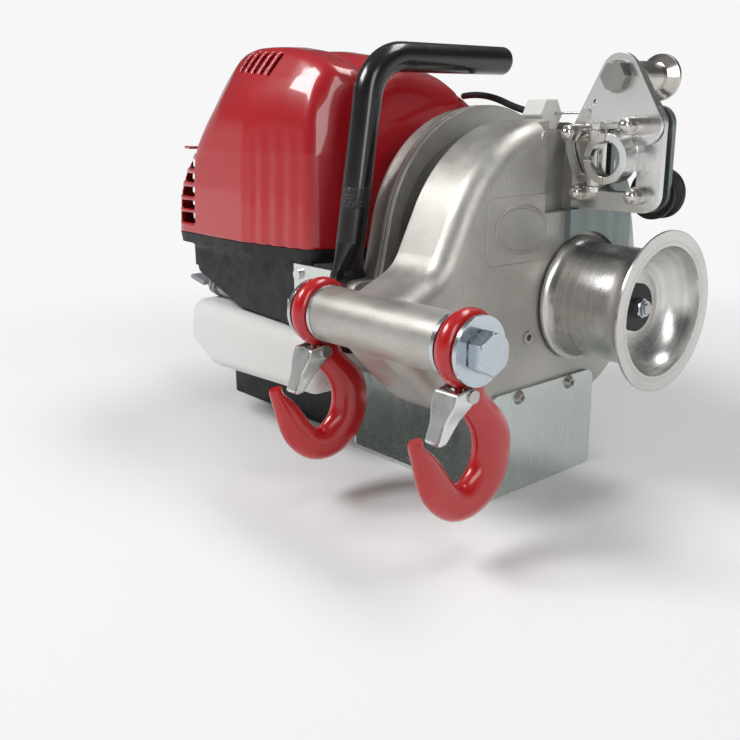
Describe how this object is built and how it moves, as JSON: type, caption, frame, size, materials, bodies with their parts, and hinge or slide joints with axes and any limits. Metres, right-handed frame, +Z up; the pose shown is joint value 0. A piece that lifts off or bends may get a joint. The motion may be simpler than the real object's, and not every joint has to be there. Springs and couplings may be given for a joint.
{
  "type": "petrol capstan winch",
  "caption": "Portable petrol capstan winch: cast gear housing with a flared rope drum, hinged anchor hooks, a rope guide lever, a carrying handle and a small engine.",
  "frame": {"origin": "middle of the base plate's underside, on the floor", "axes": "+X out along the rope drum's axis, -Y the side of the anchor hooks, +Z up"},
  "size_m": [0.447, 0.3358, 0.33],
  "materials": {
    "zinc": "bright zinc plate",
    "dark_zinc": "dark zinc plate",
    "casting": "blasted casting",
    "polished": "turned and polished",
    "steel": "machined",
    "stainless": "bright stainless",
    "black_steel": "blackened",
    "iron": "machined",
    "gasket": "pressed sheet",
    "red_paint": "gloss enamel",
    "black_paint": "gloss powder coat",
    "red_plastic": "gloss moulding",
    "black_plastic": "fine grain",
    "grey_plastic": "fine grain",
    "tank_plastic": "blow moulded, slightly see-through",
    "nylon": "machined nylon"
  },
  "bodies": {
    "frame": {"base_plate": "zinc", "gear_housing": "casting", "rear_cover": "casting", "housing_gasket": "gasket", "housing_screws": "steel", "level_plug": "steel", "drum_bearings": "steel", "anchor_bolt": "zinc", "anchor_washers": "zinc", "carry_handle": "black_paint", "guide_plate": "zinc", "guide_bracket": "dark_zinc", "guide_studs": "stainless", "cable_block": "nylon", "throttle_cable": "black_plastic", "cable_wire": "steel", "top_cover": "red_plastic", "muffler": "black_steel", "shroud_tray": "black_plastic", "engine_block": "casting", "fuel_tank": "tank_plastic", "engine_foot": "black_plastic", "engine_bracket": "zinc", "recoil_housing": "black_plastic", "air_cleaner": "black_plastic", "carburettor": "casting", "spark_plug": "steel"},
    "drum": {"drum": "polished", "drum_shaft": "steel", "drum_washer": "black_steel", "drum_nut": "steel", "drum_gear": "steel"},
    "second_stage": {"second_gear": "steel", "second_shaft": "steel"},
    "first_stage": {"first_gear": "steel", "first_shaft": "steel"},
    "clutch": {"clutch_drum": "steel"},
    "crank": {"crankshaft": "steel", "clutch_shoes": "iron", "fan_flywheel": "casting"},
    "near_hook": {"near_hook": "red_paint", "near_latch_pin": "steel", "near_latch_spring": "steel"},
    "near_latch": {"near_latch": "zinc"},
    "far_hook": {"far_hook": "red_paint", "far_latch_pin": "steel", "far_latch_spring": "steel"},
    "far_latch": {"far_latch": "zinc"},
    "lever": {"guide_lever": "zinc", "lever_stud": "stainless", "roller_bolt": "stainless"},
    "top_roller": {"top_roller": "stainless"},
    "rope_wheel": {"rope_wheel": "black_plastic"},
    "rope_gate": {"rope_gate": "stainless"},
    "throttle_arm": {"throttle_arm": "zinc"},
    "choke_lever": {"choke_lever": "black_plastic"},
    "starter_grip": {"starter_grip": "black_plastic"},
    "stop_switch": {"stop_switch": "red_plastic"},
    "tank_cap": {"tank_cap": "black_plastic"},
    "dipstick": {"dipstick": "grey_plastic"}
  },
  "joints": [
    {"name": "drum_spin", "type": "hinge", "parent": "frame", "child": "drum", "pos_m": [0, 0.039, 0.139], "axis": [1, 0, 0], "continuous": true},
    {"name": "second_spin", "type": "hinge", "parent": "frame", "child": "second_stage", "pos_m": [0, 0.03799, 0.21099], "axis": [1, 0, 0], "continuous": true},
    {"name": "first_spin", "type": "hinge", "parent": "frame", "child": "first_stage", "pos_m": [0, -0.01455, 0.20028], "axis": [1, 0, 0], "continuous": true},
    {"name": "clutch_spin", "type": "hinge", "parent": "frame", "child": "clutch", "pos_m": [0, 0.027, 0.176], "axis": [1, 0, 0], "continuous": true},
    {"name": "crank_spin", "type": "hinge", "parent": "frame", "child": "crank", "pos_m": [0, 0.027, 0.176], "axis": [1, 0, 0], "continuous": true},
    {"name": "near_hook_swing", "type": "hinge", "parent": "frame", "child": "near_hook", "pos_m": [0.12575, -0.1385, 0.1395], "axis": [1, 0, 0], "range_deg": [-110, 60]},
    {"name": "near_latch_swing", "type": "hinge", "parent": "near_hook", "child": "near_latch", "pos_m": [0.12575, -0.143, 0.112], "axis": [1, 0, 0], "range_deg": [0, 40], "stiffness_Nm_per_rad": 0.03, "springref_deg": -28.65, "deforming": ["near_latch_spring"]},
    {"name": "far_hook_swing", "type": "hinge", "parent": "frame", "child": "far_hook", "pos_m": [-0.01675, -0.1385, 0.1395], "axis": [1, 0, 0], "range_deg": [-110, 5]},
    {"name": "far_latch_swing", "type": "hinge", "parent": "far_hook", "child": "far_latch", "pos_m": [-0.01675, -0.143, 0.112], "axis": [1, 0, 0], "range_deg": [0, 40], "stiffness_Nm_per_rad": 0.03, "springref_deg": -28.65, "deforming": ["far_latch_spring"]},
    {"name": "lever_swing", "type": "hinge", "parent": "frame", "child": "lever", "pos_m": [0.134, 0.02, 0.2665], "axis": [0, 1, 0], "range_deg": [0, 23], "stiffness_Nm_per_rad": 0.6, "springref_deg": -17.19, "deforming": ["cable_wire"]},
    {"name": "top_roller_spin", "type": "hinge", "parent": "lever", "child": "top_roller", "pos_m": [0.112, 0.05, 0.2984], "axis": [0, 1, 0], "continuous": true},
    {"name": "rope_wheel_spin", "type": "hinge", "parent": "frame", "child": "rope_wheel", "pos_m": [0.1315, 0.045, 0.22], "axis": [0, 1, 0], "continuous": true},
    {"name": "gate_swing", "type": "hinge", "parent": "frame", "child": "rope_gate", "pos_m": [0.102, 0.013, 0.2445], "axis": [0, 0, 1], "range_deg": [-60, 0], "stiffness_Nm_per_rad": 0.02, "springref_deg": 22.92},
    {"name": "throttle_swing", "type": "hinge", "parent": "frame", "child": "throttle_arm", "pos_m": [-0.155, 0.076, 0.2503], "axis": [0, 0, 1], "range_deg": [0, 57.5]},
    {"name": "choke_swing", "type": "hinge", "parent": "frame", "child": "choke_lever", "pos_m": [-0.1735, 0.076, 0.233], "axis": [1, 0, 0], "range_deg": [0, 40]},
    {"name": "starter_pull", "type": "slide", "parent": "frame", "child": "starter_grip", "axis": [0, 1, 0], "range_m": [0, 0.45], "stiffness_N_per_m": 20, "springref_m": -0.5},
    {"name": "stop_press", "type": "slide", "parent": "frame", "child": "stop_switch", "axis": [0, -1, 0], "range_m": [0, 0.002], "stiffness_N_per_m": 400, "springref_m": -0.002},
    {"name": "cap_turn", "type": "hinge", "parent": "frame", "child": "tank_cap", "pos_m": [-0.28, -0.05, 0.084], "axis": [-1, 0, 0], "continuous": true},
    {"name": "dipstick_turn", "type": "hinge", "parent": "frame", "child": "dipstick", "pos_m": [-0.24, -0.084, 0.12], "axis": [-0.9806, 0, 0.1961], "continuous": true}
  ],
  "couplings": [
    {"joint": "second_spin", "follows": "drum_spin", "ratio": -5},
    {"joint": "first_spin", "follows": "drum_spin", "ratio": 22.5},
    {"joint": "clutch_spin", "follows": "drum_spin", "ratio": -101.25},
    {"joint": "throttle_swing", "follows": "lever_swing", "ratio": 2.5}
  ]
}
